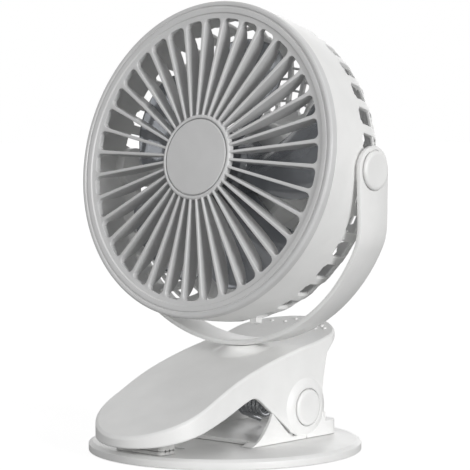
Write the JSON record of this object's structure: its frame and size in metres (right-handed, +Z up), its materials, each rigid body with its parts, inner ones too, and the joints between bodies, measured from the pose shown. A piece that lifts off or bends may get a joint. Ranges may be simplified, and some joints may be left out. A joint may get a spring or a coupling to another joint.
{
  "type": "clip fan",
  "caption": "Small round clip-on desk fan: finned grille, bowl-shaped slotted back, swivelling yoke, and a spring clip lever on a round weighted base.",
  "frame": {"origin": "middle of the base's underside, on its pad", "axes": "+Z up, the fan's face looks along -Y and about ten degrees up, +X is to the right of someone who looks along +Y at the face, and the tilt axis lies along X but for a swivel of 2.4 degrees at rest"},
  "size_m": [0.1578, 0.136, 0.2092],
  "materials": {
    "white_plastic": "satin white ABS",
    "grey_plastic": "satin light grey ABS",
    "impeller_plastic": "glossy grey polystyrene",
    "rubber_pad": "matt soft rubber",
    "zinc_steel": "bright zinc-plated steel",
    "motor_can": "plain drawn steel",
    "circuit_board": "green solder mask"
  },
  "bodies": {
    "base": {"base_plate": "white_plastic", "base_pad": "rubber_pad", "clip_bracket": "white_plastic", "hinge_pin": "zinc_steel", "clip_spring": "zinc_steel", "lower_jaw_pad": "rubber_pad"},
    "lever": {"lever_shell": "white_plastic", "upper_jaw_pad": "rubber_pad", "swivel_collar": "white_plastic", "clip_cover_left": "white_plastic", "clip_cover_right": "white_plastic"},
    "yoke": {"yoke": "white_plastic", "swivel_spindle": "zinc_steel", "swivel_washer": "zinc_steel", "swivel_nut": "zinc_steel", "tilt_cover_left": "white_plastic", "tilt_cover_right": "white_plastic"},
    "head": {"front_grille": "grey_plastic", "hub_badge": "grey_plastic", "rear_shell": "white_plastic", "tilt_screw_left": "zinc_steel", "tilt_screw_right": "zinc_steel", "motor_housing": "white_plastic", "motor": "motor_can", "control_board": "circuit_board", "rear_cap": "white_plastic", "usb_socket": "zinc_steel"},
    "impeller": {"impeller": "impeller_plastic", "impeller_spinner": "impeller_plastic", "motor_shaft": "zinc_steel"},
    "button": {"power_button": "grey_plastic"}
  },
  "joints": [
    {"name": "clip_hinge", "type": "hinge", "parent": "base", "child": "lever", "pos_m": [0, 0.0227, 0.0199], "axis": [-1, 0, 0], "range_deg": [0, 26], "stiffness_Nm_per_rad": 0.9, "springref_deg": -34.38, "deforming": ["clip_spring"]},
    {"name": "yoke_swivel", "type": "hinge", "parent": "lever", "child": "yoke", "pos_m": [0, 0.0116, 0.0483], "axis": [0, 0, 1], "range_deg": [-180, 180]},
    {"name": "head_tilt", "type": "hinge", "parent": "yoke", "child": "head", "pos_m": [0, 0.0116, 0.1313], "axis": [0.9991, 0.0419, 0], "range_deg": [-180, 180]},
    {"name": "impeller_spin", "type": "hinge", "parent": "head", "child": "impeller", "pos_m": [0, 0.0116, 0.1313], "axis": [-0.0412, 0.983, -0.1788], "continuous": true},
    {"name": "button_press", "type": "slide", "parent": "head", "child": "button", "axis": [0.0412, -0.983, 0.1788], "range_m": [0, 0.001], "stiffness_N_per_m": 400, "springref_m": -0.0005}
  ]
}
